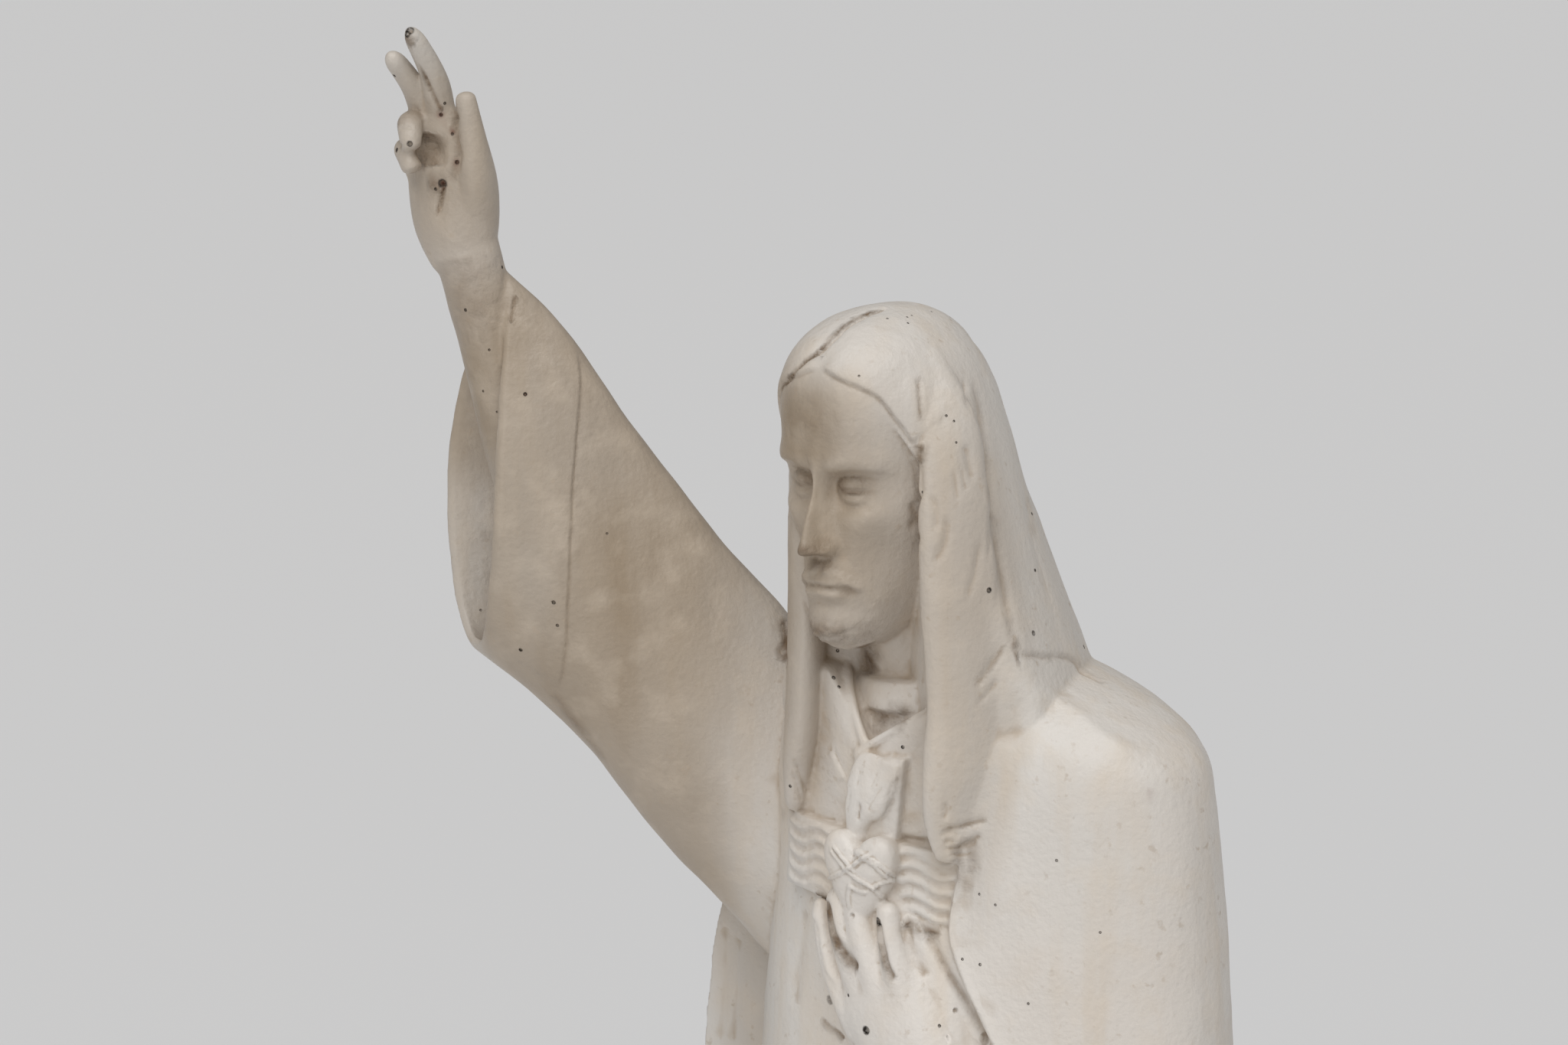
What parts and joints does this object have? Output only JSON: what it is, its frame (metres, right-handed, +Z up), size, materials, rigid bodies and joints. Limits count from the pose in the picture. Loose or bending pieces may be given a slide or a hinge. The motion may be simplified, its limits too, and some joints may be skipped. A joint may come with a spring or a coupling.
{
  "type": "plaster jesus statue",
  "caption": "Painted plaster figure of a robed man, right arm raised in blessing, left hand on the chest under a cross and heart, on a low base.",
  "frame": {"origin": "centre of the base's flat underside", "axes": "+Z up through the figure; the figure faces -Y, and its left side is +X"},
  "size_m": [0.307, 0.1946, 1.056],
  "materials": {
    "painted_plaster": "satin off-white paint over cast plaster, with dust and brown dirt in the hollows"
  },
  "bodies": {
    "root": {"statue": "painted_plaster"}
  },
  "joints": []
}
